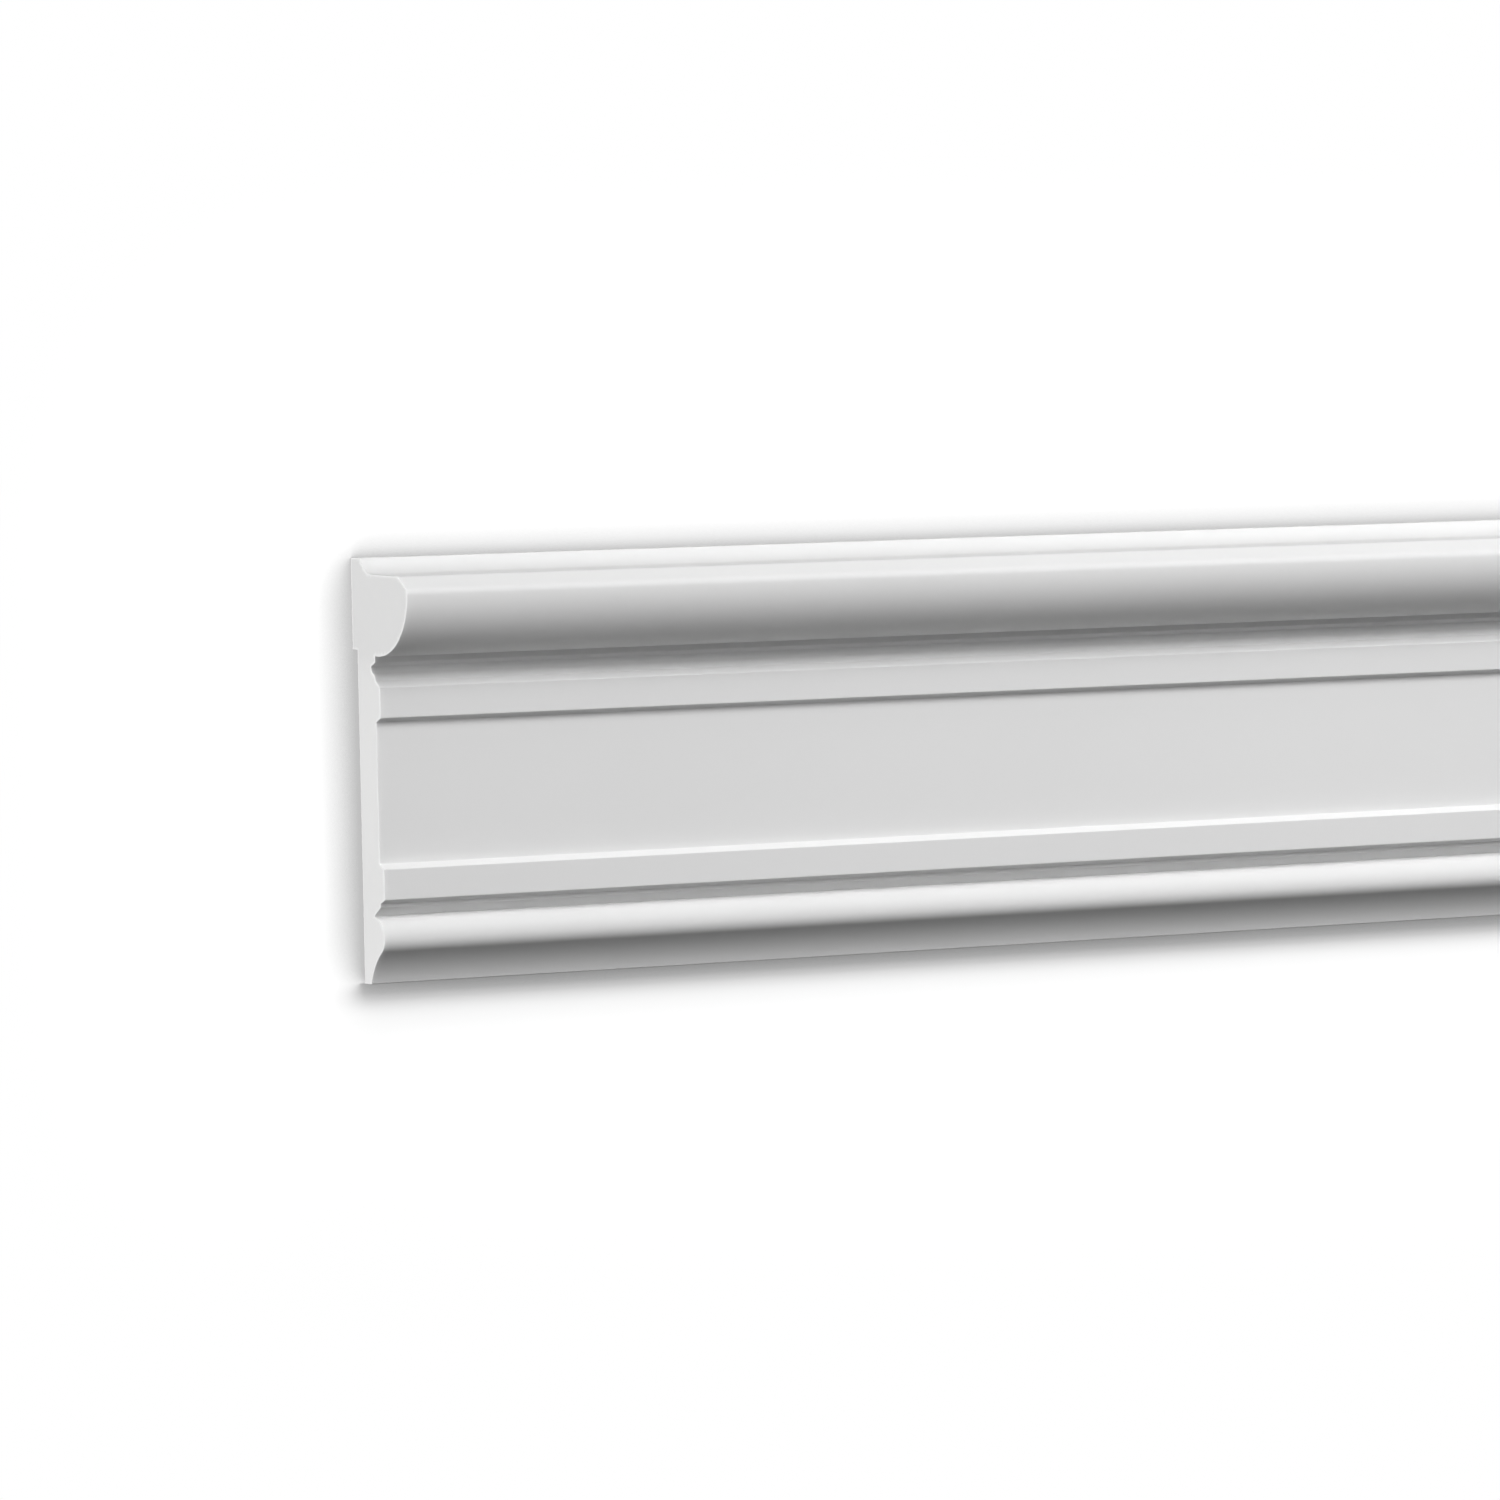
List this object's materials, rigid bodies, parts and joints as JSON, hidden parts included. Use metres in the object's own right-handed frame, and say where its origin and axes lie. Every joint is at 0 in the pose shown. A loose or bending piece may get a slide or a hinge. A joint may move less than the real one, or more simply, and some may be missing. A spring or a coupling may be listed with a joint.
{
  "type": "dado rail",
  "caption": "Moulded dado rail: shelf and quarter-round roll along the top edge, sunk frieze between two fascias, bead and cove along the bottom edge, rebated back.",
  "frame": {"origin": "middle of the length and of the width, in the plane of the back face that meets the wall", "axes": "+X along the length, +Y towards the edge that is on top when the rail is fitted, +Z out of the wall, away from the back face"},
  "size_m": [2, 0.13, 0.035],
  "materials": {
    "primed_foam": "factory-primed white, satin matt"
  },
  "bodies": {
    "root": {"dado_rail": "primed_foam"}
  },
  "joints": []
}
